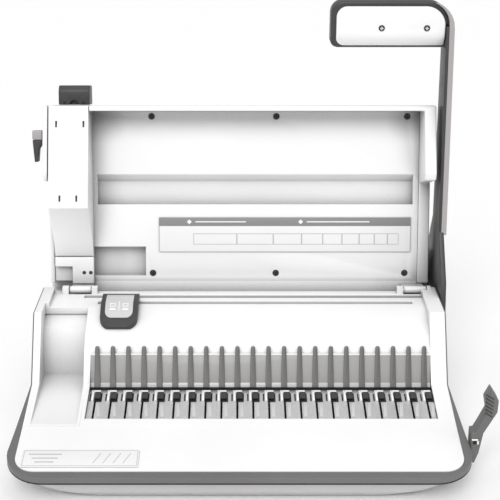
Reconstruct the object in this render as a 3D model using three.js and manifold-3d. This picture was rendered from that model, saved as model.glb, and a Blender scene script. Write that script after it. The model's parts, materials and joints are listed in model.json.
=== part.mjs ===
// Desk-top comb binding machine, open, with the handle raised. Millimetres, +X right, +Y back, +Z up.
// The parts are laid out from the lid hinge: X = 0 in the middle of the body, Y = 0 at the hinge line,
// Z = 0 on the table. The last lines move the origin to the middle of the footprint.
import * as THREE from 'three';
import { mergeVertices } from 'three/addons/utils/BufferGeometryUtils.js';
import Module from 'manifold-3d';

const wasm = await Module();
wasm.setup();
const { Manifold, Mesh: SolidMesh } = wasm;

// ---- driving dimensions -------------------------------------------------------------------------
const PITCH = 14.2875;          // comb pitch, 9/16 inch
const TINES = 22;
const FIRST_TINE = -130.5;
const GAP = 0.3;                // clearance between parts that touch
const HALF = 190;               // half width of the base
const REAR = 88;                // back of the base
const FRONT = -211.7;           // front edge of the cover
const WALL = 3;
const RAIL = [[1.5, 110], [-62.3, 110], [-96.3, 53.1], [-158, 39.5], [FRONT - 4, 29]];
const CENTRE = [[1.5, 105.5], [-40, 105], [-69.5, 90.4], [-81.4, 78.6], [-96.3, 53.1]];
const SEAM = 60;                // height of the seam between hull and rear cover
const SKIRT = 5.5;              // depth of the cover's edge
const PIT = { x0: -137, x1: 175.5, y0: -143.6, y1: -96 };
const TRAY = { x0: -183.5, x1: -143, y0: -151.6 };
const DECK_TILT = 11.6 * Math.PI / 180;
const FRONT_TILT = Math.atan2(RAIL[3][1] - RAIL[4][1], RAIL[3][0] - RAIL[4][0]);
const HINGE = [0, 107.5];           // lid hinge, [y, z]
const LID_LEAN = 12 * Math.PI / 180;
const LID_HALF = 187.5;
const LID_TOP = 178.5;
const LID_BACK = 44;
const PANEL_Y = 26;                 // front face of the lid panel
const PIVOT = [62, 98.2];           // handle shaft, [y, z]
const PUNCH_Z = 78;                 // height of the punch pins
const LEVER_PIVOT = [-170, 23.5];   // comb lever shaft, [y, z]
const FEET = [[-150, -176], [150, -176], [-165, 66], [165, 66]];
const FOOT_TOP = 1.7;
const GRIP_SCREWS = [132, 174];
const GRIP_SCREW_Z = 357;
const FRAMES = { left: -172, right: 181.5 };
const FOOTPRINT_CENTRE = [11, -66];

const COLOURS = {
  white: [0xf4f4f4, 0.45, 0], light: [0xc8c6c6, 0.5, 0], trim: [0x8a8a8a, 0.5, 0],
  dark: [0x4b4b4b, 0.55, 0], steel: [0x9a9a9a, 0.3, 1], rubber: [0x222222, 0.9, 0],
  label: [0xd9d9d9, 0.6, 0], black: [0x161616, 0.6, 0],
};

// ---- solids and booleans ------------------------------------------------------------------------
function toSolid(geometry) {
  const bare = geometry.clone();
  bare.deleteAttribute('normal');
  bare.deleteAttribute('uv');
  const merged = mergeVertices(bare, 1e-4);
  return new Manifold(new SolidMesh({
    numProp: 3,
    vertProperties: new Float32Array(merged.attributes.position.array),
    triVerts: new Uint32Array(merged.index.array),
  }));
}

function toGeometry(solid) {
  const mesh = solid.getMesh();
  const geometry = new THREE.BufferGeometry();
  geometry.setAttribute('position', new THREE.BufferAttribute(mesh.vertProperties, 3));
  geometry.setIndex(new THREE.BufferAttribute(mesh.triVerts, 1));
  geometry.computeVertexNormals();
  return geometry;
}

const place = (geometry, x, y, z) => toSolid(geometry.translate(x, y, z));
const union = (solids) => solids.reduce((whole, next) => whole.add(next));

function block(x0, x1, y0, y1, z0, z1) {
  const box = new THREE.BoxGeometry(x1 - x0, y1 - y0, z1 - z0);
  return place(box, (x0 + x1) / 2, (y0 + y1) / 2, (z0 + z1) / 2);
}

function outline(points) {
  return new THREE.Shape(points.map(([a, b]) => new THREE.Vector2(a, b)));
}

// Turns a shape drawn flat so that it stands upright, facing the operator.
const UPRIGHT = new THREE.Matrix4().set(1, 0, 0, 0, 0, 0, -1, 0, 0, 1, 0, 0, 0, 0, 0, 1);

// A side outline given as [y, z] points, swept from x0 to x1.
function sweepX(points, x0, x1) {
  const geometry = new THREE.ExtrudeGeometry(outline(points), { depth: x1 - x0, bevelEnabled: false });
  geometry.applyMatrix4(new THREE.Matrix4().set(0, 0, 1, x0, 1, 0, 0, 0, 0, 1, 0, 0, 0, 0, 0, 1));
  return toSolid(geometry);
}

// A front outline given as [x, z] points, swept from y0 to y1.
function sweepY(points, y0, y1) {
  const geometry = new THREE.ExtrudeGeometry(outline(points), { depth: y1 - y0, bevelEnabled: false });
  return toSolid(geometry.applyMatrix4(UPRIGHT.clone().setPosition(0, y1, 0)));
}

// A rod along X or Z, or along Y.
function rod(axis, radius, from, to, a, b, sides = 16) {
  const geometry = new THREE.CylinderGeometry(radius, radius, to - from, sides);
  const mid = (from + to) / 2;
  if (axis === 'x') return place(geometry.rotateZ(-Math.PI / 2), mid, a, b);
  if (axis === 'y') return place(geometry, a, mid, b);
  return place(geometry.rotateX(Math.PI / 2), a, b, mid);
}

// Plan shape of the base: square at the back, round corners at the front.
function planShape(half, front, rear, radius, frontHalf = half) {
  const shape = new THREE.Shape();
  shape.moveTo(-half, rear);
  shape.lineTo(-half, -96);
  shape.lineTo(-frontHalf, front + radius);
  shape.absarc(-frontHalf + radius, front + radius, radius, Math.PI, 1.5 * Math.PI, false);
  shape.absarc(frontHalf - radius, front + radius, radius, 1.5 * Math.PI, 2 * Math.PI, false);
  shape.lineTo(half, -96);
  shape.lineTo(half, rear);
  return shape;
}

function plan(shape, z0, z1, bevel = 0) {
  const options = {
    depth: z1 - z0 - bevel, curveSegments: 6, bevelEnabled: bevel > 0, steps: 1,
    bevelThickness: bevel, bevelSize: bevel * 0.65, bevelOffset: -bevel * 0.65, bevelSegments: 4,
  };
  return toSolid(new THREE.ExtrudeGeometry(shape, options).translate(0, 0, z0 + bevel));
}

const lower = (line, drop) => line.map(([y, z]) => [y, z - drop]);
const band = (top, bottom) => [...top, ...[...bottom].reverse()];
const tineX = (i) => FIRST_TINE + i * PITCH;

// ---- scene helpers ------------------------------------------------------------------------------
const machine = new THREE.Group();

function add(parent, name, colour, solid) {
  const [color, roughness, metalness] = COLOURS[colour];
  const material = new THREE.MeshStandardMaterial({ color, roughness, metalness });
  const mesh = new THREE.Mesh(toGeometry(solid), material);
  mesh.name = name;
  parent.add(mesh);
}

function group(parent, y, z, tilt = 0) {
  const child = new THREE.Group();
  child.position.set(0, y, z);
  child.rotation.x = tilt;
  parent.add(child);
  return child;
}

// ---- base ---------------------------------------------------------------------------------------
// The hull narrows and its front corners grow rounder towards the table. Inset makes the inside.
function keel(inset, floor) {
  const rings = [[0, 30, 18 + inset, 124], [2.5, 50, 8 + inset, 9 + inset], [8, 66, floor, floor + 1]];
  return Manifold.hull(rings.map(([taper, radius, z0, z1]) => {
    const narrowed = taper + inset;
    return plan(planShape(HALF - narrowed, FRONT + narrowed, REAR - taper / 4 - inset, radius - inset), z0, z1);
  }));
}

function baseHull() {
  const shell = keel(0, 2);
  const under = [[REAR + 1, SEAM - GAP], [1.8, SEAM - GAP], ...lower(RAIL, SKIRT + GAP), [-230, 16], [-230, 0],
    [REAR + 1, 0]];
  const cavity = keel(WALL, 5);
  const drawerHole = block(-112, 132, 60, 100, 9.5, 42.5);
  const leverHole = rod('x', 4.3, 170, 200, ...LEVER_PIVOT);
  return shell.intersect(sweepX(under, -200, 200)).subtract(cavity).subtract(drawerHole).subtract(leverHole);
}

function trimBand() {
  const line = [...RAIL.slice(0, 4), [-225, 27.3]];
  const strip = sweepX(band(lower(line, 0.6), lower(line, SKIRT)), -200, 200);
  const outer = plan(planShape(191.2, -220, 1.3, 34, 198), 0, 130);
  const inner = plan(planShape(HALF + GAP, FRONT - GAP, 30, 18), -1, 131);
  return strip.intersect(outer).subtract(inner);
}

function deckCover() {
  const shell = plan(planShape(HALF, FRONT, 1.5, 18), 10, 120);
  const body = shell.intersect(sweepX(band(RAIL, lower(RAIL, SKIRT)), -200, 200));
  const railSide = [[1.5, 110], [-62.3, 110], [-96.3, 53.1], [-96.3, 48], [-84, 70], [-70, 84], [-42, 99],
    [1.5, 100]];
  const railFill = sweepX(railSide, -186.2, 186.2);
  const hollow = plan(planShape(HALF - 3.5, FRONT + 3.5, 1.5, 15), 0, 120)
    .intersect(sweepX(band(lower(RAIL.slice(2), WALL), lower(RAIL.slice(2), 40)), -186.2, 186.2));
  const above = [...CENTRE, [-110, 130], [1.5, 130]];
  const centreWell = sweepX(above, -180, 176).subtract(block(-200, 200, -200, -96, 0, 200));
  const pitCut = sweepX([[-82, 78.7], [-96, 40], [PIT.y1, 0], [PIT.y0, 0], [PIT.y0, 120], [-82, 120]],
    PIT.x0, PIT.x1);
  const trayCut = sweepX([[-38, 120], [-40, 98], [-52, 90], [-62, 68], [-64, 48], [TRAY.y0, 41], [TRAY.y0, 120]],
    TRAY.x0, TRAY.x1);
  const trayShell = sweepX([[-36, 99], [-38, 94], [-49, 87], [-59, 66], [-61, 44.5], [TRAY.y0 - 2, 36.5],
    [TRAY.y0 - 2, 41], [-96, 53], [-70, 90]], TRAY.x0 - 2.5, TRAY.x1 + 2.5);
  const throat = block(-150, 177, -15, -9, 80, 130);
  const track = block(-135, 165, -30, -24, 80, 130);
  const lugs = [[-172, -166], [-143.5, -138], [153, 159], [182.5, 186]].map(([x0, x1]) =>
    sweepX([[1.5, 100], [1.5, 111.5], [-4, 111.5], [-6, 104], [-6, 100]], x0, x1));
  const barrelRoom = union([block(-165.6, -143.9, -6, 2, 98, 116), block(159.4, 182.1, -6, 2, 98, 116)]);
  const pinHole = rod('x', 2.1, -190, 190, ...HINGE, 10);
  return union([body, railFill]).subtract(hollow).subtract(centreWell).add(trayShell)
    .subtract(union([trayCut, pitCut, throat, track, barrelRoom])).add(union(lugs)).subtract(pinHole);
}

function rearCover() {
  const outer = [[2, SEAM], [2, 93], [44, 93], [50, 124], [76, 124], [REAR, 104], [REAR, SEAM]];
  const inner = [[1, SEAM - 1], [1, 90], [46.4, 90], [52.4, 121], [74.4, 121], [85, 103], [85, SEAM - 1]];
  const shaftHole = rod('x', 6.4, 180, 200, ...PIVOT);
  return sweepX(outer, -HALF, HALF).subtract(sweepX(inner, -HALF + WALL, HALF - WALL)).subtract(shaftHole);
}

function sideFrame(x) {
  const plate = [[-20, 22], [-20, 86], [48, 86], [57, 112], [74, 112], [82, 22]];
  return sweepX(plate, x, x + 2).subtract(rod('x', 7.3, x - 1, x + 3, ...PIVOT));
}

function diePlate(y0) {
  const plate = block(-148, 178, y0, y0 + 3, 62, 94);
  const holes = Array.from({ length: TINES }, (_, i) =>
    block(tineX(i) - 4 - GAP, tineX(i) + 4 + GAP, y0 - 1, y0 + 4, PUNCH_Z - 2, PUNCH_Z + 2));
  return plate.subtract(union(holes));
}

function punchBar() {
  const bar = block(-140, 178, 12, 22, PUNCH_Z - 6, PUNCH_Z + 6);
  const pins = Array.from({ length: TINES }, (_, i) =>
    block(tineX(i) - 4, tineX(i) + 4, -5, 13, PUNCH_Z - 1.6, PUNCH_Z + 1.6));
  const arms = [-110, 130].map((x) => block(x - 4, x + 4, 21, 59, PUNCH_Z - 4, PUNCH_Z + 8));
  return union([bar, ...pins, ...arms]);
}

function tinePlate() {
  const height = 36;
  const tines = Array.from({ length: TINES }, (_, i) => {
    const x = tineX(i);
    const tip = 2;
    const shape = new THREE.Shape();
    shape.moveTo(x - 3, -7);
    shape.lineTo(x + 3, -7);
    shape.lineTo(x + tip, height - 1);
    shape.absarc(x, height, tip, 0, Math.PI, false);
    const sheet = new THREE.ExtrudeGeometry(shape, { depth: 1.5, bevelEnabled: false, curveSegments: 5 });
    return toSolid(sheet.rotateX(Math.PI / 2));
  });
  const root = block(-136, 174.5, -1.5, 0, -14, -6);
  return union([root, ...tines]);
}

function pitPlate() {
  const plate = block(PIT.x0 + GAP, PIT.x1 - GAP, -21, 20.5, -7, -5.5);
  const slits = Array.from({ length: TINES }, (_, i) =>
    block(tineX(i) - 0.95, tineX(i) + 0.95, -19.5, 18, -10, 0));
  return plate.subtract(union(slits));
}

function combSlider() {
  const bar = block(-134, 173, 6, 17, -13, -9);
  const hooks = Array.from({ length: TINES }, (_, i) => {
    const stem = block(tineX(i) - 0.6, tineX(i) + 0.6, 9, 16, -10, -2.6);
    const head = block(tineX(i) - 0.6, tineX(i) + 4.6, 7.5, 16, -4.2, -2.6);
    return stem.add(head);
  });
  return union([bar, ...hooks]);
}

function combLever() {
  const front = [[198.6, 18.5], [202.5, 17], [206, 27], [209, 46], [219.6, 66], [220, 77], [213.6, 87],
    [208.8, 77], [210.8, 66.5], [205.6, 55], [201.5, 46.5], [198.6, 46.5]];
  return sweepY(front, LEVER_PIVOT[0] - 7, LEVER_PIVOT[0] + 7);
}

// An upright block with its two front corners rounded.
function roundedFront(x0, x1, y0, radius) {
  const shape = new THREE.Shape();
  shape.moveTo(x1, 0);
  shape.lineTo(x0, 0);
  shape.absarc(x0 + radius, y0 + radius, radius, Math.PI, 1.5 * Math.PI, false);
  shape.absarc(x1 - radius, y0 + radius, radius, 1.5 * Math.PI, 2 * Math.PI, false);
  return toSolid(new THREE.ExtrudeGeometry(shape, { depth: 60, bevelEnabled: false, curveSegments: 6 })
    .translate(0, 0, 70));
}

function edgeGuide() {
  const side = [[-22, 106], [-40.5, 105.5], [-64, 93.9], [-65, 97], [-42, 111], [-22, 112.5]];
  const knob = sweepX(side, -130.5, -95.5).intersect(roundedFront(-130.5, -95.5, -65, 11));
  const foot = block(-116, -110, -28.5, -25.5, 96.6, 110);
  return knob.add(foot);
}

function buildBase() {
  add(machine, 'base_hull', 'light', baseHull());
  add(machine, 'trim_band', 'trim', trimBand());
  add(machine, 'deck_cover', 'white', deckCover());
  add(machine, 'rear_cover', 'white', rearCover());
  add(machine, 'side_frame_left', 'steel', sideFrame(FRAMES.left));
  add(machine, 'side_frame_right', 'steel', sideFrame(FRAMES.right));
  add(machine, 'die_plate_front', 'steel', diePlate(-18.6));
  add(machine, 'die_plate_rear', 'steel', diePlate(-8.6));
  for (const [side, x, end] of [['left', -165.5, -144], ['right', 159.3, 182.2]]) {
    add(machine, `hinge_pin_${side}`, 'steel', rod('x', 1.8, x - 5, end + 4, ...HINGE, 10));
  }
  FEET.forEach(([x, y], i) => add(machine, `foot_${i + 1}`, 'rubber', rod('z', 9, 0, FOOT_TOP, x, y)));
  for (const [side, x] of Object.entries(FRAMES)) {
    const bush = rod('x', 7, x - 1.5, x + 3.5, ...PIVOT).subtract(rod('x', 5.4, x - 3, x + 5, ...PIVOT));
    add(machine, `shaft_bush_${side}`, 'black', bush);
  }
  add(group(machine, -196.4, 32.52, FRONT_TILT), 'deck_label', 'label', block(-184, -85, -11, 11, 0.3, 0.9));
  add(machine, 'guide_rail', 'steel', rod('x', 2.2, -145, 172, -27, 94, 10));
}

function buildCombUnit() {
  const tineGroup = group(machine, -94.4, 49.2, -20 * Math.PI / 180);
  add(tineGroup, 'tine_plate', 'steel', tinePlate());
  const back = block(PIT.x0 + GAP, PIT.x1 - GAP, 0.3, 1.2, -14, 29);
  add(tineGroup, 'tine_back_plate', 'light', back);
  const pit = group(machine, -122, 49.5, DECK_TILT);
  add(pit, 'pit_plate', 'steel', pitPlate());
  add(pit, 'comb_slider', 'dark', combSlider());
  for (const [side, x] of [['left', -140.1], ['right', 176.5]]) {
    add(pit, `slider_guide_${side}`, 'steel', block(x, x + 3, -24, 20, -15, -7));
  }
  add(machine, 'comb_lever', 'dark', combLever());
  add(machine, 'lever_shaft', 'steel', rod('x', 3.5, 160, 198.3, ...LEVER_PIVOT));
  add(machine, 'edge_guide', 'dark', edgeGuide());
  const insert = sweepX([[-27, 112.5], [-41.8, 111.4], [-57, 102.2], [-57, 103.1], [-42, 112.2], [-27, 113.3]],
    -126, -100);
  add(machine, 'edge_guide_insert', 'light', insert.intersect(roundedFront(-126, -100, -57, 6)));
}

function buildPunch() {
  add(machine, 'punch_bar', 'steel', punchBar());
  const drawer = block(-111, 131, -40, 83, 10, 40).subtract(block(-109, 129, -38, 81, 12, 50));
  const front = block(-111, 131, 83, REAR - 0.5, 10, 42);
  const pull = block(-20, 40, 86, 92, 20, 32);
  add(machine, 'chip_drawer', 'light', drawer.add(front).subtract(pull));
}

// ---- lid: local Z runs up the open lid, local -Y faces the operator ------------------------------
function lidShell() {
  const side = [[LID_BACK, 2.5], [LID_BACK, LID_TOP - 16], [LID_BACK - 5, LID_TOP - 6],
    [LID_BACK - 16, LID_TOP - 1.5], [10, LID_TOP], [-4, LID_TOP], [-15, 114.5], [-12, 108], [25, 102.5], [25, 2.5]];
  const outer = sweepX(side, -LID_HALF, LID_HALF);
  const inside = [[-40, -5], [LID_BACK - WALL, -5], [LID_BACK - WALL, LID_TOP - 17.5], [LID_BACK - 7, LID_TOP - 9.7],
    [LID_BACK - 14, LID_TOP - 5], [-40, LID_TOP - 5]];
  const cavity = sweepX(inside, -183, 176.4);
  const capNotch = block(-183, -143.4, -40, 26, LID_TOP - 20, LID_TOP + 5);
  return outer.subtract(cavity).subtract(capNotch);
}

function lidPanel(screwPlaces) {
  const slab = block(-182.7, 176.1, PANEL_Y, PANEL_Y + 3, 5, LID_TOP - 5.4);
  const grooveBox = block(-143, 174, PANEL_Y, LID_BACK - WALL - GAP, 78, 114);
  const groove = sweepX([[PANEL_Y - 1, 81], [38, 81], [38, 103], [PANEL_Y - 1, 111.5]], -140, 171);
  const pocketBox = block(-147, -91, PANEL_Y, 40, 7.5, 42);
  const pocket = sweepX([[PANEL_Y - 1, 10], [38, 10], [38, 36], [PANEL_Y - 1, 39.5]], -144.8, -92.9);
  const bores = screwPlaces.map(([x, z]) => rod('y', 3.4, PANEL_Y - 1, PANEL_Y + 1.6, x, z, 12));
  return union([slab, grooveBox, pocketBox]).subtract(groove).subtract(pocket).subtract(union(bores));
}

function staplerHousing() {
  const side = [[PANEL_Y - GAP, 30], [21, 30], [14, 45], [-16, 80], [-20, 82], [-3, LID_TOP], [25.6, LID_TOP]];
  const slots = [[-175.5, 158], [-149.5, 158], [-172, 88], [-156, 88]].map(([x, z]) =>
    block(x, x + 1.8, -30, -12 + (z - 88) * 0.17, z, z + 6));
  const magazineBay = block(-178, -148, 2, 22, 70, LID_TOP + 1);
  return sweepX(side, -182, -144).subtract(union(slots)).subtract(magazineBay);
}

function hingeArm(x0, x1) {
  const barrel = rod('x', 3.8, x0, x1, 0, 0, 16);
  const arm = block(x0, x1, 0, PANEL_Y + 12, -3.2, 2.1);
  return barrel.add(arm).subtract(rod('x', 2.15, x0 - 1, x1 + 1, 0, 0, 10));
}

function buildLid() {
  const lid = group(machine, ...HINGE, -LID_LEAN);
  const screwPlaces = [-86, 36, 164].flatMap((x) => [[x, 167.5], [x, 12.5]]);
  add(lid, 'lid_shell', 'white', lidShell());
  add(lid, 'lid_panel', 'white', lidPanel(screwPlaces));
  screwPlaces.forEach(([x, z], i) =>
    add(lid, `panel_screw_${i + 1}`, 'steel', rod('y', 2.9, PANEL_Y + 0.2, PANEL_Y + 1.3, x, z, 12)));
  add(lid, 'size_chart', 'label', block(-79.6, 169.2, PANEL_Y - 0.9, PANEL_Y - GAP, 33.8, 68.1));
  add(lid, 'hinge_arm_left', 'white', hingeArm(-165, -144.5));
  add(lid, 'hinge_arm_right', 'white', hingeArm(160, 181.5));
  add(lid, 'stapler_housing', 'white', staplerHousing());
  add(lid, 'stapler_bracket', 'white', block(-182, -144, 19, PANEL_Y - GAP, 3, 29.6)
    .subtract(block(-190, -165, 10, 30, -1, 20)));
  add(lid, 'staple_magazine', 'steel', block(-176, -150, 4, 20, 84, LID_TOP));
  const head = sweepX([[16, LID_TOP + 0.4], [16, LID_TOP + 14], [20, LID_TOP + 19], [38, LID_TOP + 19],
    [40, LID_TOP + 0.4]], -175, -145);
  add(lid, 'stapler_head', 'dark', head.subtract(rod('y', 4.2, 10, 20, -160, LID_TOP + 0.4, 12)));
  const latchFront = [[-197.5, 146], [-195.8, 125], [-192.6, 125], [-191.6, 137], [-188.3, 143], [-188.3, 146]];
  add(lid, 'latch_button', 'light', block(-197.5, -188.3, -7, 7, 146.3, 155));
  add(lid, 'stapler_latch', 'dark', sweepY(latchFront, -6, 6));
}

// ---- handle -------------------------------------------------------------------------------------
function handleArm() {
  const side = [[-30, 94], [-24, 124], [6.5, 165], [27, 358.7], [56, 358.7], [46, 170], [82, 112], [84, 92],
    [72, 80], [20, 86]];
  const plate = sweepX(side, 191.8, 197);
  return plate.subtract(rod('x', 4.6, 190, 199, ...PIVOT));
}

function gripShell() {
  const front = new THREE.Shape();
  front.moveTo(191.4, 337);
  front.lineTo(93, 337);
  front.absarc(93, 345, 8, 1.5 * Math.PI, Math.PI, true);
  front.absarc(97, 369, 12, Math.PI, 0.5 * Math.PI, true);
  front.absarc(175, 359, 22, 0.5 * Math.PI, 0, true);
  front.lineTo(191.4, 359);
  const geometry = new THREE.ExtrudeGeometry(front, { depth: 20, bevelEnabled: false, curveSegments: 5 });
  return toSolid(geometry.applyMatrix4(UPRIGHT.clone().setPosition(0, 53, 0)));
}

function gripCover() {
  const front = new THREE.Shape();
  front.moveTo(191, 340);
  front.lineTo(191, 359);
  front.absarc(173, 359, 18, 0, 0.5 * Math.PI, false);
  front.absarc(100, 367, 10, 0.5 * Math.PI, Math.PI, false);
  front.absarc(98, 348, 8, Math.PI, 1.5 * Math.PI, false);
  const geometry = new THREE.ExtrudeGeometry(front, { depth: 3.8, bevelEnabled: false, curveSegments: 6 });
  const cover = toSolid(geometry.applyMatrix4(UPRIGHT.clone().setPosition(0, 32.7, 0)));
  const bores = GRIP_SCREWS.map((x) => rod('y', 3, 28, 30.4, x, GRIP_SCREW_Z, 12));
  return cover.subtract(union(bores));
}

function cam(x) {
  const lobe = 118 * Math.PI / 180;
  const reach = 10;
  const hub = rod('x', 8.5, x, x + 8, ...PIVOT);
  const tip = rod('x', 2.5, x, x + 8, PIVOT[0] + reach * Math.cos(lobe), PIVOT[1] + reach * Math.sin(lobe), 12);
  return Manifold.hull([hub, tip]).subtract(rod('x', 5.3, x - 1, x + 9, ...PIVOT));
}

function buildHandle() {
  add(machine, 'handle_arm', 'dark', handleArm());
  add(machine, 'grip_shell', 'dark', gripShell());
  add(machine, 'grip_cover', 'white', gripCover());
  GRIP_SCREWS.forEach((x, i) =>
    add(machine, `grip_screw_${i + 1}`, 'steel', rod('y', 2.6, 29, 30.1, x, GRIP_SCREW_Z, 12)));
  add(machine, 'drive_shaft', 'steel', rod('x', 5, -178, 191.4, ...PIVOT, 16));
  add(machine, 'cam_left', 'steel', cam(-114));
  add(machine, 'cam_right', 'steel', cam(126));
  const bolt = rod('x', 4.2, 191.8, 197.3, ...PIVOT).add(rod('x', 9, 197.3, 200, ...PIVOT));
  add(machine, 'handle_bolt', 'steel', bolt);
}

buildBase();
buildCombUnit();
buildPunch();
buildLid();
buildHandle();
machine.position.set(-FOOTPRINT_CENTRE[0], -FOOTPRINT_CENTRE[1], 0);
machine.updateMatrixWorld(true);
export default machine;
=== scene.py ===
import math
import json

import bmesh
import bpy
from mathutils import Matrix, Vector


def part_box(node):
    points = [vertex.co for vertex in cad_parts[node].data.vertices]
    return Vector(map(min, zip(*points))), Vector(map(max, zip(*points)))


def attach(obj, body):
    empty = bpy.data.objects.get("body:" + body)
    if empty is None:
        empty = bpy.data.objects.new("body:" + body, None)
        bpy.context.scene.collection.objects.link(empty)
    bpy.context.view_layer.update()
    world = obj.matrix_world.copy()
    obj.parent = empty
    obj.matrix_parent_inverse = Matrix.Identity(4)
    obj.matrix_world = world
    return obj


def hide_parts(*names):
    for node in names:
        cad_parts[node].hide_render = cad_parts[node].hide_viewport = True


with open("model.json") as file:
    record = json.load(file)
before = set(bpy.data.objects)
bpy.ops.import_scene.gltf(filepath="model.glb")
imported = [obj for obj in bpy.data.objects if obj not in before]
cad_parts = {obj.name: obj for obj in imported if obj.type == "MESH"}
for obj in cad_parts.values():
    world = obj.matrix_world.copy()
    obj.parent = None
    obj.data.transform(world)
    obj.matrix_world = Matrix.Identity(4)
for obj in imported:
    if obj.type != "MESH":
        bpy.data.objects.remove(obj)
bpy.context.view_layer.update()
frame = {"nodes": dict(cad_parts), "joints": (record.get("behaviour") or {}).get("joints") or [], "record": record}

bl_info = {
    "name": "Comb binding machine",
    "version": (1, 0, 0),
    "blender": (4, 5, 0),
    "location": "View3D > Sidebar > Binder",
    "description": "Finishes the shells, steel, marks and stage of a desk-top comb binding machine",
    "category": "Object",
}

MM = 0.001
PITCH = 14.2875 * MM
TINES = 22
LID_LEAN = math.radians(-12)
DECK_TILT = math.radians(11.6)
FRONT_TILT = math.atan2(10.5, 57.7)
TINE_TILT = math.radians(-20)
TINE_ROOT = (0, -28.4 * MM, 49.2 * MM)
HARD_EDGE = math.radians(28)        # edges sharper than this are rounded
SMOOTH_LIMIT = math.radians(32)     # and edges softer than this are shaded smooth
UPRIGHT = Matrix.Rotation(math.pi / 2, 4, "X")
LAMPS = (  # name, place it shines from, strength, width in degrees
    ("key", (-0.15, -1.1, 1.0), 1.5, 35),
    ("top", (0.1, -0.2, 1.5), 0.65, 60),
)
ROOM_LIGHT = 0.5
CAMERA_PLACE = (-0.011, -1.0385, 0.5509)
CAMERA_TILT = math.radians(70)
CAMERA_SHIFT = 0.021
HINGE = next(j for j in frame["joints"] if j["name"] == "lid_hinge")["pos_m"]
BODY_OF = {node: body for body, nodes in frame["record"]["behaviour"]["bodies"].items() for node in nodes}


# ---- places on the machine ----------------------------------------------------------------------
def lid_place():
    """The lid's own frame: Z runs up the open lid and -Y faces the operator."""
    return Matrix.Translation(HINGE) @ Matrix.Rotation(LID_LEAN, 4, "X")


def centre_of(node):
    low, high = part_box(node)
    return (low + high) / 2


def local_box(node, place):
    """Lowest and highest corners of a CAD node in a turned frame."""
    inverse = place.inverted()
    points = [inverse @ vertex.co for vertex in frame["nodes"][node].data.vertices]
    return [Vector(pick(p[axis] for p in points) for axis in range(3)) for pick in (min, max)]


def label_place():
    return Matrix.Translation(centre_of("deck_label")) @ Matrix.Rotation(FRONT_TILT, 4, "X")


# ---- shared shader groups -----------------------------------------------------------------------
def new_group(name, inputs, outputs):
    tree = bpy.data.node_groups.new(name, "ShaderNodeTree")
    for label, default in inputs:
        socket = tree.interface.new_socket(label, in_out="INPUT", socket_type="NodeSocketFloat")
        socket.default_value = default
    for label in outputs:
        tree.interface.new_socket(label, in_out="OUTPUT", socket_type="NodeSocketFloat")
    return tree, tree.nodes.new("NodeGroupInput"), tree.nodes.new("NodeGroupOutput")


def noise(tree, vector, scale, detail=3.0):
    node = tree.nodes.new("ShaderNodeTexNoise")
    node.inputs["Detail"].default_value = detail
    if isinstance(scale, (int, float)):
        node.inputs["Scale"].default_value = scale
    else:
        tree.links.new(scale, node.inputs["Scale"])
    tree.links.new(vector, node.inputs["Vector"])
    return node.outputs["Fac"]


def grain_group():
    """Fine moulded texture, with broad cloudy variation and sparse handling marks."""
    tree, entry, leave = new_group("Moulded grain", [("Grain scale", 900.0)], ["Grain", "Cloud", "Marks"])
    place = tree.nodes.new("ShaderNodeTexCoord").outputs["Object"]
    tree.links.new(noise(tree, place, entry.outputs["Grain scale"]), leave.inputs["Grain"])
    tree.links.new(noise(tree, place, 9.0, 2.0), leave.inputs["Cloud"])
    marks = tree.nodes.new("ShaderNodeMapRange")
    marks.inputs["From Min"].default_value = 0.58
    marks.inputs["From Max"].default_value = 0.74
    tree.links.new(noise(tree, place, 55.0, 6.0), marks.inputs["Value"])
    tree.links.new(marks.outputs["Result"], leave.inputs["Marks"])
    return tree


def brush_group():
    """Long fine streaks from rolling or grinding, along one axis chosen by the three stretches."""
    inputs = [("Stretch X", 1.0), ("Stretch Y", 1.0), ("Stretch Z", 1.0)]
    tree, entry, leave = new_group("Brushed streaks", inputs, ["Streaks", "Cloud"])
    place = tree.nodes.new("ShaderNodeTexCoord").outputs["Object"]
    stretch = tree.nodes.new("ShaderNodeCombineXYZ")
    for axis in "XYZ":
        tree.links.new(entry.outputs["Stretch " + axis], stretch.inputs[axis])
    product = tree.nodes.new("ShaderNodeVectorMath")
    product.operation = "MULTIPLY"
    tree.links.new(place, product.inputs[0])
    tree.links.new(stretch.outputs["Vector"], product.inputs[1])
    tree.links.new(noise(tree, product.outputs["Vector"], 60.0, 4.0), leave.inputs["Streaks"])
    tree.links.new(noise(tree, place, 25.0, 2.0), leave.inputs["Cloud"])
    return tree


# ---- materials ----------------------------------------------------------------------------------
def start_material(name, group):
    material = bpy.data.materials.new(name)
    material.use_nodes = True
    nodes = material.node_tree.nodes
    effect = nodes.new("ShaderNodeGroup")
    effect.node_tree = group
    return material, material.node_tree, nodes["Principled BSDF"], effect


def shade_between(tree, mask, dark, light, target):
    ramp = tree.nodes.new("ShaderNodeValToRGB")
    ramp.color_ramp.elements[0].position = 0.35
    ramp.color_ramp.elements[1].position = 0.65
    ramp.color_ramp.elements[0].color = (*dark, 1)
    ramp.color_ramp.elements[1].color = (*light, 1)
    tree.links.new(mask, ramp.inputs["Fac"])
    tree.links.new(ramp.outputs["Color"], target)
    return ramp.outputs["Color"]


def rough_between(tree, mask, low, high, target):
    spread = tree.nodes.new("ShaderNodeMapRange")
    spread.inputs["To Min"].default_value = low
    spread.inputs["To Max"].default_value = high
    tree.links.new(mask, spread.inputs["Value"])
    tree.links.new(spread.outputs["Result"], target)


def raise_surface(tree, height, distance, strength, shader):
    bump = tree.nodes.new("ShaderNodeBump")
    bump.inputs["Distance"].default_value = distance
    bump.inputs["Strength"].default_value = strength
    tree.links.new(height, bump.inputs["Height"])
    tree.links.new(bump.outputs["Normal"], shader.inputs["Normal"])


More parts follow.
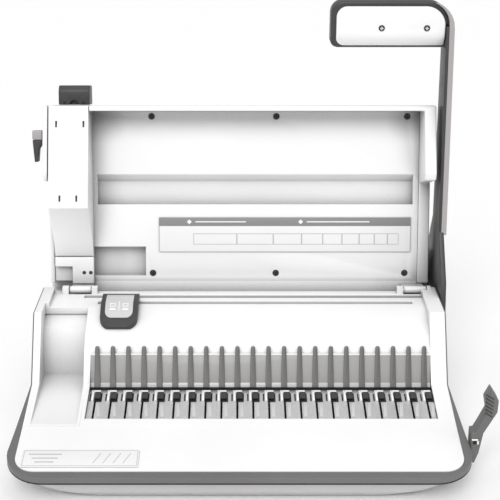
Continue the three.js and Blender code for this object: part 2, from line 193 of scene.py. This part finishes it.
def paint_corner_shade(tree, colour, depth, reach, shader):
    """Paints shade into the base colour in recesses and inside corners, where shade gathers on matt mouldings."""
    corners = tree.nodes.new("ShaderNodeAmbientOcclusion")
    corners.inputs["Distance"].default_value = reach
    corners.samples = 6
    curve = tree.nodes.new("ShaderNodeMapRange")
    curve.inputs["From Min"].default_value = 0.25
    curve.inputs["From Max"].default_value = 0.85
    curve.inputs["To Min"].default_value = 1 - depth
    tree.links.new(corners.outputs["AO"], curve.inputs["Value"])
    product = tree.nodes.new("ShaderNodeVectorMath")
    product.operation = "SCALE"
    tree.links.new(colour, product.inputs[0])
    tree.links.new(curve.outputs["Result"], product.inputs["Scale"])
    tree.links.new(product.outputs["Vector"], shader.inputs["Base Color"])


def plastic(name, group, colour, rough=0.42, grain=900.0, depth=0.25, coat=0.0, shift=0.04, corners=0.0,
            reach=0.05):
    material, tree, shader, effect = start_material(name, group)
    effect.inputs["Grain scale"].default_value = grain
    darker = [channel * (1 - shift) for channel in colour]
    tint = shade_between(tree, effect.outputs["Cloud"], darker, colour, shader.inputs["Base Color"])
    # painted shade: the colour is darkened in recesses and inside corners
    if corners:
        paint_corner_shade(tree, tint, corners, reach, shader)
    rough_between(tree, effect.outputs["Marks"], rough, rough + 0.12, shader.inputs["Roughness"])
    raise_surface(tree, effect.outputs["Grain"], 0.0001, depth, shader)
    shader.inputs["Coat Weight"].default_value = coat
    shader.inputs["Specular IOR Level"].default_value = 0.45
    return material


def steel(name, group, colour, rough=0.25, along="X"):
    material, tree, shader, effect = start_material(name, group)
    for axis in "XYZ":
        effect.inputs["Stretch " + axis].default_value = 1.0 if axis == along else 40.0
    darker = [channel * 0.82 for channel in colour]
    shade_between(tree, effect.outputs["Streaks"], darker, colour, shader.inputs["Base Color"])
    rough_between(tree, effect.outputs["Cloud"], rough - 0.06, rough + 0.08, shader.inputs["Roughness"])
    raise_surface(tree, effect.outputs["Streaks"], 0.00005, 0.3, shader)
    shader.inputs["Metallic"].default_value = 0.6
    return material


def make_materials(tones):
    grain, brush = grain_group(), brush_group()
    white = list(tones.cover)
    return {
        # The cover and panel whites get painted shade in their recesses and inside corners.
        "cover": plastic("Cover white", grain, white, 0.4, corners=0.6),
        "panel": plastic("Panel white", grain, white, 0.5, 700.0, 0.35, corners=0.8, reach=0.034),
        "hull": plastic("Hull light grey", grain, list(tones.hull), 0.5, 700.0, 0.5),
        "trim": plastic("Trim grey", grain, list(tones.trim), 0.45, 800.0, 0.4, shift=0.1),
        "dark": plastic("Charcoal plastic", grain, list(tones.dark), 0.42, 800.0, 0.5, shift=0.15),
        "lever": plastic("Mid grey plastic", grain, [0.15, 0.147, 0.145], 0.42, 800.0, 0.5, shift=0.12),
        "strip": plastic("Warm grey strip", grain, [0.4, 0.38, 0.38], 0.4),
        # The pale insert finish also makes the painted reflections of the tines on the pit plate.
        "insert": plastic("Pale insert", grain, [0.62, 0.62, 0.62], 0.3, coat=0.3),
        # The bright finish also makes the painted highlight on the back plate's top edge.
        "bright": plastic("Bright white marks", grain, [0.93, 0.93, 0.93], 0.4),
        "film": plastic("Label film", grain, [0.89, 0.89, 0.89], 0.3, coat=0.2),
        "ink": plastic("Grey print", grain, [0.27, 0.27, 0.27], 0.4),
        "pale_ink": plastic("Pale print", grain, [0.5, 0.5, 0.5], 0.4),
        # Black is used for the shaft bushes, and as painted shade in gaps, slots, holes, recesses and the pit.
        "black": plastic("Black inside", grain, [0.012, 0.012, 0.012], 0.6),
        "rubber": plastic("Foot rubber", grain, [0.025, 0.025, 0.025], 0.85, 500.0, 0.9, shift=0.3),
        "drawer": plastic("Drawer grey", grain, [0.42, 0.42, 0.42], 0.5, 700.0, 0.5),
        "steel": steel("Plated steel", brush, [0.55, 0.55, 0.56], 0.3),
        "tine": steel("Satin tine steel", brush, [0.18, 0.178, 0.175], 0.42, "Z"),
        "pit": steel("Polished pit steel", brush, [0.75, 0.745, 0.745], 0.3, "Y"),
        # The back plate's grey is painted shade, for the shade it sits in behind the tines.
        "back": plastic("Grey back plate", grain, [0.37, 0.365, 0.36], 0.35, 900.0, 0.2, 0.2),
        "screw": steel("Dark screw steel", brush, [0.06, 0.06, 0.06], 0.35),
    }


MATERIALS = {}


# ---- piece making -------------------------------------------------------------------------------
def shade(mesh):
    mesh.shade_smooth()
    mesh.set_sharp_from_angle(angle=SMOOTH_LIMIT)


def finish_piece(name, bm, finish, body, replaced=()):
    mesh = bpy.data.meshes.new(name)
    bm.to_mesh(mesh)
    bm.free()
    mesh.materials.append(MATERIALS[finish])
    piece = bpy.data.objects.new(name, mesh)
    bpy.context.scene.collection.objects.link(piece)
    shade(mesh)
    if replaced:
        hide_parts(*replaced)
    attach(piece, body)
    return piece


def softened(node, finish, radius, segments=3):
    """A finished copy of a CAD node: welded, flat faces joined, and every hard edge rounded."""
    bm = bmesh.new()
    bm.from_mesh(frame["nodes"][node].data)
    bmesh.ops.remove_doubles(bm, verts=bm.verts, dist=2e-5)
    bmesh.ops.dissolve_limit(bm, angle_limit=math.radians(1.0), verts=bm.verts, edges=bm.edges)
    hard = [e for e in bm.edges if e.is_manifold and e.calc_face_angle(0) > HARD_EDGE]
    bmesh.ops.bevel(bm, geom=hard, offset=radius * MM, offset_type="OFFSET", affect="EDGES",
                    segments=segments, profile=0.5, material=-1, clamp_overlap=True)
    bmesh.ops.triangulate(bm, faces=[f for f in bm.faces if len(f.verts) > 4])
    return finish_piece(node + "_finished", bm, finish, BODY_OF[node], (node,))


def bar(bm, place, centre, size, turn=0.0, edge=0.0):
    """A bar in millimetres in a given frame, turned about that frame's Z, with rounded edges."""
    matrix = place @ Matrix.Translation(Vector(centre) * MM) @ Matrix.Rotation(turn, 4, "Z")
    made = bmesh.ops.create_cube(bm, size=1.0, matrix=matrix @ Matrix.Diagonal((*[s * MM for s in size], 1)))
    if edge:
        edges = {e for v in made["verts"] for e in v.link_edges}
        bmesh.ops.bevel(bm, geom=list(edges), offset=edge * MM, offset_type="OFFSET", affect="EDGES",
                        segments=2, profile=0.5, material=-1, clamp_overlap=True)


def frame_bars(bm, place, centre, size, line, thick):
    """A rectangular outline of four bars lying in the X and second axis of the frame."""
    cx, cy, cz = centre
    width, height = size
    for side in (-1, 1):
        bar(bm, place, (cx, cy + side * (height - line) / 2, cz), (width, line, thick))
        bar(bm, place, (cx + side * (width - line) / 2, cy, cz), (line, height - 2 * line, thick))


def disc(bm, place, radius, top_radius, depth, sides):
    bmesh.ops.create_cone(bm, cap_ends=True, segments=sides, radius1=radius * MM, radius2=top_radius * MM,
                          depth=depth * MM, matrix=place)


def screw_head(name, node, place, body, cross_finish="black"):
    """A cross-head screw: a domed disc with a cross, standing for its plain CAD cylinder."""
    low, high = local_box(node, place)
    middle = (low + high) / 2
    radius, depth = (high.x - low.x) / 2 / MM, (high.y - low.y) / MM
    bm = bmesh.new()
    turn = place @ Matrix.Translation((middle.x, low.y, middle.z)) @ UPRIGHT
    disc(bm, turn @ Matrix.Translation((0, 0, -depth * MM / 2)), radius, radius * 0.8, depth, 32)
    bmesh.ops.bevel(bm, geom=[e for e in bm.edges if e.calc_face_angle(0) > 0.6], offset=0.15 * MM,
                    affect="EDGES", segments=2, profile=0.5, material=-1)
    finish_piece(name, bm, "screw", body, (node,))
    # With the default black finish the cross is painted shade for the screw's recessed cross.
    cross = bmesh.new()
    for angle in (0, math.pi / 2):
        bar(cross, turn, (0, 0, 0.02), (radius * 1.15, radius * 0.34, 0.1), angle)
    finish_piece(name + "_cross", cross, cross_finish, body)


# ---- properties ---------------------------------------------------------------------------------
class BinderSizes(bpy.types.PropertyGroup):
    shell_radius: bpy.props.FloatProperty(name="Shell edge radius", default=1.2, min=0.2, max=3,
                                          description="Rounding of the moulded shells' edges, in mm")
    metal_radius: bpy.props.FloatProperty(name="Metal edge radius", default=0.25, min=0.05, max=1,
                                          description="Rounding of the steel parts' edges, in mm")
    floor_width: bpy.props.FloatProperty(name="Floor width", default=12.0, subtype="DISTANCE",
                                         description="Side of the pale floor under the machine")
    lens: bpy.props.FloatProperty(name="Focal length", default=87.84, subtype="DISTANCE_CAMERA",
                                  description="Focal length of the camera")


class BinderColours(bpy.types.PropertyGroup):
    cover: bpy.props.FloatVectorProperty(name="Cover", subtype="COLOR", default=(0.92, 0.92, 0.92),
                                         description="White of the covers and the lid")
    hull: bpy.props.FloatVectorProperty(name="Hull", subtype="COLOR", default=(0.60, 0.59, 0.59),
                                        description="Light grey of the hull")
    trim: bpy.props.FloatVectorProperty(name="Trim", subtype="COLOR", default=(0.16, 0.16, 0.16),
                                        description="Grey of the trim band")
    dark: bpy.props.FloatVectorProperty(name="Dark plastic", subtype="COLOR", default=(0.05, 0.05, 0.05),
                                        description="Charcoal of the handle, levers and knobs")


class Binder:
    bl_options = {"REGISTER", "UNDO"}


class BINDER_OT_materials(Binder, bpy.types.Operator):
    """Make the plastics, steels, rubber and prints"""
    bl_idname = "binder.materials"
    bl_label = "Materials"

    def execute(self, context):
        MATERIALS.update(make_materials(context.scene.binder_colours))
        return {"FINISHED"}


class BINDER_OT_base(Binder, bpy.types.Operator):
    """Finish the hull, trim band, covers and feet"""
    bl_idname = "binder.base"
    bl_label = "Base shells"

    def execute(self, context):
        radius = context.scene.binder_sizes.shell_radius
        softened("base_hull", "hull", radius * 0.4)
        softened("trim_band", "trim", radius * 0.8)
        softened("deck_cover", "cover", radius)
        softened("rear_cover", "cover", radius * 2)
        softened("chip_drawer", "drawer", radius * 0.8)
        for number in range(1, 5):
            softened(f"foot_{number}", "rubber", 0.8)
        self.trim_gap_shadow()
        return {"FINISHED"}

    def trim_gap_shadow(self):
        """A thin black strip of painted shadow under the trim band, standing for the shaded gap there, following
        its outline.
        """
        bm = bmesh.new()
        bm.from_mesh(frame["nodes"]["trim_band"].data)
        bmesh.ops.remove_doubles(bm, verts=bm.verts, dist=2e-5)
        kept_up = [f for f in bm.faces if f.normal.z > -0.5]
        bmesh.ops.delete(bm, geom=kept_up, context="FACES")
        made = bmesh.ops.extrude_face_region(bm, geom=bm.faces[:])
        below = [v for v in made["geom"] if isinstance(v, bmesh.types.BMVert)]
        bmesh.ops.translate(bm, verts=below, vec=(0, 0, -1.1 * MM))
        bmesh.ops.recalc_face_normals(bm, faces=bm.faces)
        finish_piece("trim_gap_shadow", bm, "black", "base")


class BINDER_OT_comb_unit(Binder, bpy.types.Operator):
    """Finish the tines, the pit, the hooks and their white guides"""
    bl_idname = "binder.comb_unit"
    bl_label = "Comb unit"

    def execute(self, context):
        radius = context.scene.binder_sizes.metal_radius
        softened("tine_plate", "tine", radius, 2)
        softened("tine_back_plate", "back", radius)
        softened("pit_plate", "pit", radius * 0.8, 2)
        softened("comb_slider", "dark", radius * 0.8, 2)
        middle = centre_of("pit_plate")
        place = Matrix.Translation((0, middle.y, middle.z)) @ Matrix.Rotation(DECK_TILT, 4, "X")
        self.hook_guides(place)
        self.tine_reflection_strips(place)
        self.pit_painted_shade(place)
        self.back_plate_lines()
        return {"FINISHED"}

    def tine_places(self):
        """Each tine's X in millimetres."""
        first = centre_of("tine_plate").x - PITCH * (TINES - 1) / 2 + 0.05 * MM
        return [(first + i * PITCH) / MM for i in range(TINES)]

    def pit_span(self):
        """The pit plate's middle and width along X, in millimetres."""
        low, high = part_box("pit_plate")
        return (low.x + high.x) / 2 / MM, (high.x - low.x) / MM

    def hook_guides(self, place):
        """A white angle round the back and left of each hook, and dark windows of painted shade in the plate for
        its shaded slots and the shadow beside them.
        """
        white, black = bmesh.new(), bmesh.new()
        for x in self.tine_places():
            # painted shade: thin black sheets for each shaded slot and the shadow line at its left
            bar(black, place, (x + 2.6, 11.4, 0.85), (7.0, 12.6, 0.12))
            bar(black, place, (x - 4.6, 11.6, 0.85), (1.3, 10.4, 0.12))
            bar(white, place, (x + 0.5, 18.6, 1.9), (8.2, 2.2, 2.0), edge=0.25)
            bar(white, place, (x - 2.3, 12.4, 1.9), (2.0, 14.0, 2.0), edge=0.25)
        finish_piece("hook_guides", white, "bright", "base")
        finish_piece("hook_slot_shade", black, "black", "base")

    def tine_reflection_strips(self, place):
        """A pale strip of painted reflection of the tines on the plate ahead of each hook, its front end turned
        towards the middle.
        """
        bm = bmesh.new()
        for i, x in enumerate(self.tine_places()):
            lean = (i - (TINES - 1) / 2) * 0.0125
            slide = Matrix.Translation(Vector((x + 4.1, -6.2, 1.0)) * MM)
            # painted reflection of a tine: a thin pale bar on the plate
            bar(bm, place @ slide, (0, 0, 0), (3.2, 20.0, 0.5), -lean, 0.15)
        finish_piece("tine_reflection_strips", bm, "insert", "base")

    def pit_painted_shade(self, place):
        """Painted shade: a dark line along the back of the pit for the shadow gap behind its plate, and a dark
        sheet under its plate for the shade down in the pit.
        """
        middle, width = self.pit_span()
        bm = bmesh.new()
        # painted shade under the plate, then the painted shadow line behind it
        bar(bm, place, (middle, 0, -6.6), (width, 30, 0.5))
        bar(bm, place, (middle, 22.0, 2.6), (width, 0.8, 3.0))
        finish_piece("pit_painted_shade", bm, "black", "base")

    def back_plate_lines(self):
        """A painted highlight along the top edge of the plate behind the tines, and a pale band along its foot."""
        middle, width = self.pit_span()
        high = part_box("tine_back_plate")[1]
        edge, foot = bmesh.new(), bmesh.new()
        # painted highlight: a bright bar over the plate's rounded top edge
        spot = Matrix.Translation((0, high.y - 0.4 * MM, high.z + 0.9 * MM))
        bar(edge, spot, (middle, 0, 0), (width, 1.6, 1.6), edge=0.3)
        finish_piece("back_plate_highlight", edge, "bright", "base")
        lean = Matrix.Translation(TINE_ROOT) @ Matrix.Rotation(TINE_TILT, 4, "X")
        bar(foot, lean, (middle, 0.15, -0.5), (width, 0.2, 9), edge=0.05)
        finish_piece("back_plate_foot", foot, "insert", "base")


class BINDER_OT_levers(Binder, bpy.types.Operator):
    """Finish the comb lever with its ribbed pad, and the edge guide with its pale insert"""
    bl_idname = "binder.levers"
    bl_label = "Levers and guide"

    def execute(self, context):
        softened("comb_lever", "lever", 1.0)
        softened("lever_shaft", "steel", 0.3)
        softened("edge_guide", "dark", 1.6)
        softened("edge_guide_insert", "insert", 0.3)
        self.thumb_ribs()
        self.root_catch()
        self.guide_marks()
        return {"FINISHED"}

    def root_catch(self):
        """The pale spring end, and a dark patch of painted shade for its pocket on the lever's root."""
        place = Matrix.Translation(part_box("comb_lever")[0])
        pocket, spring = bmesh.new(), bmesh.new()
        bar(pocket, place, (4.2, -0.05, 21.6), (5.0, 0.3, 5.6))
        bar(spring, place, (3.4, -0.3, 23.2), (5.4, 0.6, 1.6), edge=0.2)
        bar(spring, place, (6.0, -0.3, 20.4), (1.6, 0.6, 3.2), edge=0.2)
        finish_piece("lever_pocket_shade", pocket, "black", "lever")
        finish_piece("lever_spring", spring, "bright", "lever")

    def thumb_ribs(self):
        """Slanted grip ribs on the front of the thumb pad."""
        low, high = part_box("comb_lever")
        bm = bmesh.new()
        slant = Matrix.Rotation(math.radians(32), 4, "Y")
        for i in range(6):
            spot = (high.x - 8 * MM, low.y - 0.1 * MM, high.z - (6 + 3.4 * i) * MM)
            bar(bm, Matrix.Translation(spot) @ slant, (0, 0, 0), (9.0 - 0.3 * i, 0.9, 1.3), edge=0.35)
        finish_piece("thumb_ribs", bm, "dark", "lever")

    def guide_marks(self):
        """Two generic sheet marks and a divider on the insert."""
        low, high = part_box("edge_guide_insert")
        bm = bmesh.new()
        slope = math.atan2(9.1, 15.0)
        middle = Vector(((low.x + high.x) / 2, low.y + 9.0 * MM, low.z + 6.4 * MM))
        place = Matrix.Translation(middle) @ Matrix.Rotation(slope, 4, "X")
        bar(bm, place, (0, 2, 0.1), (0.6, 11, 0.5))
        for side in (-1, 1):
            frame_bars(bm, place, (side * 6, 3.4, 0.1), (5.2, 4.0), 0.7, 0.5)
            bar(bm, place, (side * 6, -1.6, 0.1), (5.6, 1.8, 0.5))
        finish_piece("guide_marks", bm, "bright", "guide")


class BINDER_OT_lid(Binder, bpy.types.Operator):
    """Finish the lid shell, its panel, screws and chart"""
    bl_idname = "binder.lid"
    bl_label = "Lid"

    def execute(self, context):
        radius = context.scene.binder_sizes.shell_radius
        softened("lid_shell", "cover", radius)
        softened("lid_panel", "panel", radius * 0.7)
        for side in ("left", "right"):
            softened(f"hinge_arm_{side}", "cover", 0.7)
            softened(f"hinge_pin_{side}", "steel", 0.2)
        for number in range(1, 7):
            screw_head(f"panel_screw_head_{number}", f"panel_screw_{number}", lid_place(), "lid")
        self.chart()
        self.apron()
        return {"FINISHED"}

    def apron(self):
        """The panel's lower lip, which carries it down behind the deck."""
        low, high = local_box("lid_panel", lid_place())
        bracket = 38
        left, right = low.x / MM + bracket, high.x / MM
        centre = ((left + right) / 2, low.y / MM + 1.5, low.z / MM - 6)
        bm = bmesh.new()
        bar(bm, lid_place(), centre, (right - left, 2.8, 12.6), edge=0.4)
        finish_piece("lid_apron", bm, "panel", "lid")

    def chart(self):
        """The comb size chart: a header band over outline boxes that get narrower."""
        softened("size_chart", "film", 0.2)
        low, high = local_box("size_chart", lid_place())
        place = lid_place() @ Matrix.Translation((0, low.y, 0)) @ UPRIGHT
        left, right, bottom, top = low.x / MM, high.x / MM, low.z / MM, high.z / MM
        middle, width = (left + right) / 2, right - left
        band = bmesh.new()
        bar(band, place, (middle, top - 4.2, 0.05), (width, 8.4, 0.3), edge=0.1)
        finish_piece("chart_band", band, "ink", "lid")
        lines = bmesh.new()
        frame_bars(lines, place, (middle, (top + bottom) / 2, 0.05), (width, top - bottom), 0.6, 0.25)
        start = left + 34
        for size in (43, 36, 28, 21, 19, 17, 15, 13, 11):
            frame_bars(lines, place, (start + size / 2, bottom + 13, 0.05), (size, 11), 0.55, 0.25)
            start += size
        finish_piece("chart_lines", lines, "pale_ink", "lid")
        marks = bmesh.new()
        for x, long in ((left + 36, 50), (left + 146, 62)):
            bar(marks, place, (x + long / 2, top - 4.2, 0.22), (long, 1.1, 0.12))
            bar(marks, place, (x - 6, top - 4.2, 0.22), (3.4, 3.4, 0.12), math.pi / 4)
        finish_piece("chart_band_marks", marks, "bright", "lid")


class BINDER_OT_stapler(Binder, bpy.types.Operator):
    """Finish the stapling unit on the lid"""
    bl_idname = "binder.stapler"
    bl_label = "Stapling unit"

    def execute(self, context):
        softened("stapler_housing", "cover", 0.9)
        softened("stapler_bracket", "cover", 0.6)
        softened("staple_magazine", "steel", 0.4)
        softened("stapler_head", "dark", 1.6)
        softened("stapler_latch", "dark", 0.8)
        softened("latch_button", "strip", 0.9)
        self.bracket_screws()
        self.head_hole_shade()
        return {"FINISHED"}

    def bracket_screws(self):
        """Two small screws side by side on the foot bracket."""
        front = local_box("stapler_bracket", lid_place())[0].y
        bm = bmesh.new()
        for x in (-153.5, -147.0):
            spot = Matrix.Translation((x * MM, front + 0.1 * MM, 14 * MM))
            disc(bm, lid_place() @ spot @ UPRIGHT, 2.1, 1.7, 0.7, 24)
        finish_piece("bracket_screw_heads", bm, "screw", "lid")

    def head_hole_shade(self):
        """Two dark discs of painted shade for the holes beside the opening in the head."""
        low, high = local_box("stapler_head", lid_place())
        middle = (low.x + high.x) / 2
        bm = bmesh.new()
        for offset in (-9, 9):
            spot = Matrix.Translation((middle + offset * MM, low.y, low.z + 1.8 * MM))
            disc(bm, lid_place() @ spot @ UPRIGHT, 1.5, 1.5, 0.3, 20)
        finish_piece("head_hole_shade", bm, "black", "magazine")


class BINDER_OT_handle(Binder, bpy.types.Operator):
    """Finish the handle arm, grip, cover and its screws"""
    bl_idname = "binder.handle"
    bl_label = "Handle"

    def execute(self, context):
        softened("handle_arm", "dark", 1.2)
        for piece in (softened("grip_shell", "dark", 1.6), softened("grip_cover", "cover", 0.9)):
            self.roll_back(piece)
        softened("handle_bolt", "screw", 0.6)
        still = Matrix.Identity(4)
        for number in (1, 2):
            screw_head(f"grip_screw_head_{number}", f"grip_screw_{number}", still, "handle", "bright")
        self.arm_strip()
        return {"FINISHED"}

    def roll_back(self, piece):
        """Curves the lower front of the grip back and under, as a hand hold is."""
        front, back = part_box("grip_cover")[0].y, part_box("grip_shell")[1].y
        rise, slices, curl = 16 * MM, 8, 24 * MM
        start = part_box("grip_shell")[0].z + rise
        bm = bmesh.new()
        bm.from_mesh(piece.data)
        for step in range(slices):
            parts = [*bm.verts, *bm.edges, *bm.faces]
            cut = (0, 0, start - step * rise / slices)
            bmesh.ops.bisect_plane(bm, geom=parts, plane_co=cut, plane_no=(0, 0, 1))
        for vertex in bm.verts:
            drop = max(0.0, start - vertex.co.z)
            vertex.co.y += drop * drop / curl * (back - vertex.co.y) / (back - front)
        bm.to_mesh(piece.data)
        bm.free()
        shade(piece.data)

    def arm_strip(self):
        """The light strip along the arm's outer front edge, tapering out round the grip's corner."""
        side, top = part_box("handle_arm")[1].x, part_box("grip_shell")[1].z
        corner, half_width, deep = 22 * MM, 2.4, Vector((0, 5 * MM, 0))
        straight = ((71.9, 162), (92.3, 357))  # Y and Z of the straight run's ends
        bend_start = 92.9
        stations = [(Vector((side, y * MM, z * MM)), Vector((1, 0, 0)), half_width) for y, z in straight]
        centre = Vector((side - corner, 0, top - corner))
        for step in range(1, 9):
            angle = math.radians(9 * step)
            out = Vector((math.cos(angle), 0, math.sin(angle)))
            spot = centre + out * corner + Vector((0, (bend_start + 0.6 * step) * MM, 0))
            stations.append((spot, out, half_width - 0.26 * step))
        bm = bmesh.new()
        rings = []
        for spot, out, half in stations:
            inner, outer = spot - out * half * MM, spot + out * half * MM
            rings.append([bm.verts.new(p) for p in (inner, outer, outer + deep, inner + deep)])
        for one, two in zip(rings, rings[1:]):
            for i in range(4):
                bm.faces.new((one[i], one[(i + 1) % 4], two[(i + 1) % 4], two[i]))
        bm.faces.new(rings[0][::-1])
        bm.faces.new(rings[-1])
        bmesh.ops.recalc_face_normals(bm, faces=bm.faces)
        finish_piece("arm_strip", bm, "strip", "handle")


class BINDER_OT_inside(Binder, bpy.types.Operator):
    """Finish the steel and bushes inside the base"""
    bl_idname = "binder.inside"
    bl_label = "Inside"

    def execute(self, context):
        for node in ("side_frame_left", "side_frame_right", "punch_bar", "drive_shaft", "cam_left",
                     "cam_right", "guide_rail", "slider_guide_left", "slider_guide_right"):
            softened(node, "steel", 0.3, 2)
        for node in ("die_plate_front", "die_plate_rear"):
            softened(node, "steel", 0.15, 1)
        for node in ("shaft_bush_left", "shaft_bush_right"):
            softened(node, "black", 0.2, 1)
        return {"FINISHED"}


class BINDER_OT_deck_label(Binder, bpy.types.Operator):
    """Finish the deck label with an outline and plain slanted marks"""
    bl_idname = "binder.deck_label"
    bl_label = "Deck label"

    def execute(self, context):
        softened("deck_label", "film", 0.25)
        low, high = local_box("deck_label", label_place())
        place = label_place() @ Matrix.Translation((0, 0, high.z))
        lines = bmesh.new()
        width, height = (high.x - low.x) / MM, (high.y - low.y) / MM
        frame_bars(lines, place, (0, 0, 0.02), (width - 2, height - 2), 0.5, 0.15)
        for i in range(4):
            bar(lines, place, (14 + i * 8.5, 0, 0.02), (0.6, height - 8, 0.15), math.radians(-24))
        for i in range(3):
            bar(lines, place, (-30, 5 - i * 5, 0.02), (28 - 6 * i, 1.2, 0.15))
        finish_piece("deck_label_marks", lines, "pale_ink", "base")
        return {"FINISHED"}


class BINDER_OT_stage(Binder, bpy.types.Operator):
    """Set the pale floor, the soft lights and the camera"""
    bl_idname = "binder.stage"
    bl_label = "Stage"

    def execute(self, context):
        sizes = context.scene.binder_sizes
        self.floor(sizes.floor_width)
        self.lights()
        self.camera(sizes.lens)
        context.scene.view_settings.view_transform = "Standard"
        return {"FINISHED"}

    def floor(self, width):
        bm = bmesh.new()
        bmesh.ops.create_grid(bm, x_segments=1, y_segments=1, size=width / 2)
        mesh = bpy.data.meshes.new("floor")
        bm.to_mesh(mesh)
        bm.free()
        floor = bpy.data.objects.new("floor", mesh)
        material = bpy.data.materials.new("Pale floor")
        material.use_nodes = True
        shader = material.node_tree.nodes["Principled BSDF"]
        shader.inputs["Base Color"].default_value = (0.99, 0.99, 0.99, 1)
        shader.inputs["Roughness"].default_value = 0.9
        mesh.materials.append(material)
        bpy.context.scene.collection.objects.link(floor)

    def lights(self):
        world = bpy.data.worlds.new("Soft white room")
        world.use_nodes = True
        background = world.node_tree.nodes["Background"]
        background.inputs["Color"].default_value = (1, 1, 1, 1)
        background.inputs["Strength"].default_value = ROOM_LIGHT
        bpy.context.scene.world = world
        for name, spot, power, spread in LAMPS:
            data = bpy.data.lights.new(name, "SUN")
            data.energy = power
            data.angle = math.radians(spread)
            lamp = bpy.data.objects.new(name, data)
            lamp.location = spot
            lamp.rotation_euler = (-lamp.location).to_track_quat("-Z", "Y").to_euler()
            bpy.context.scene.collection.objects.link(lamp)

    def camera(self, lens):
        data = bpy.data.cameras.new("camera")
        data.lens = lens
        data.shift_x = CAMERA_SHIFT
        camera = bpy.data.objects.new("camera", data)
        camera.location = CAMERA_PLACE
        camera.rotation_euler = (CAMERA_TILT, 0, 0)
        bpy.context.scene.collection.objects.link(camera)
        bpy.context.scene.camera = camera


class BINDER_PT_panel(bpy.types.Panel):
    """Lists the machine's sizes, colours and pieces"""
    bl_idname = "BINDER_PT_panel"
    bl_label = "Comb binding machine"
    bl_space_type = "VIEW_3D"
    bl_region_type = "UI"
    bl_category = "Binder"

    def draw(self, context):
        for group in (context.scene.binder_sizes, context.scene.binder_colours):
            for name in group.bl_rna.properties.keys():
                if name not in ("rna_type", "name"):
                    self.layout.prop(group, name)
        for operator in OPERATORS:
            self.layout.operator(operator.bl_idname)


OPERATORS = (BINDER_OT_materials, BINDER_OT_stage, BINDER_OT_base, BINDER_OT_comb_unit, BINDER_OT_levers,
             BINDER_OT_lid, BINDER_OT_stapler, BINDER_OT_handle, BINDER_OT_inside, BINDER_OT_deck_label)
CLASSES = (BinderSizes, BinderColours, *OPERATORS, BINDER_PT_panel)


def register():
    for item in CLASSES:
        bpy.utils.register_class(item)
    bpy.types.Scene.binder_sizes = bpy.props.PointerProperty(type=BinderSizes)
    bpy.types.Scene.binder_colours = bpy.props.PointerProperty(type=BinderColours)


def unregister():
    del bpy.types.Scene.binder_colours
    del bpy.types.Scene.binder_sizes
    for item in reversed(CLASSES):
        bpy.utils.unregister_class(item)


def main():
    register()
    for operator in OPERATORS:
        getattr(bpy.ops.binder, operator.bl_idname.split(".")[1])()


if __name__ == "__main__":
    main()
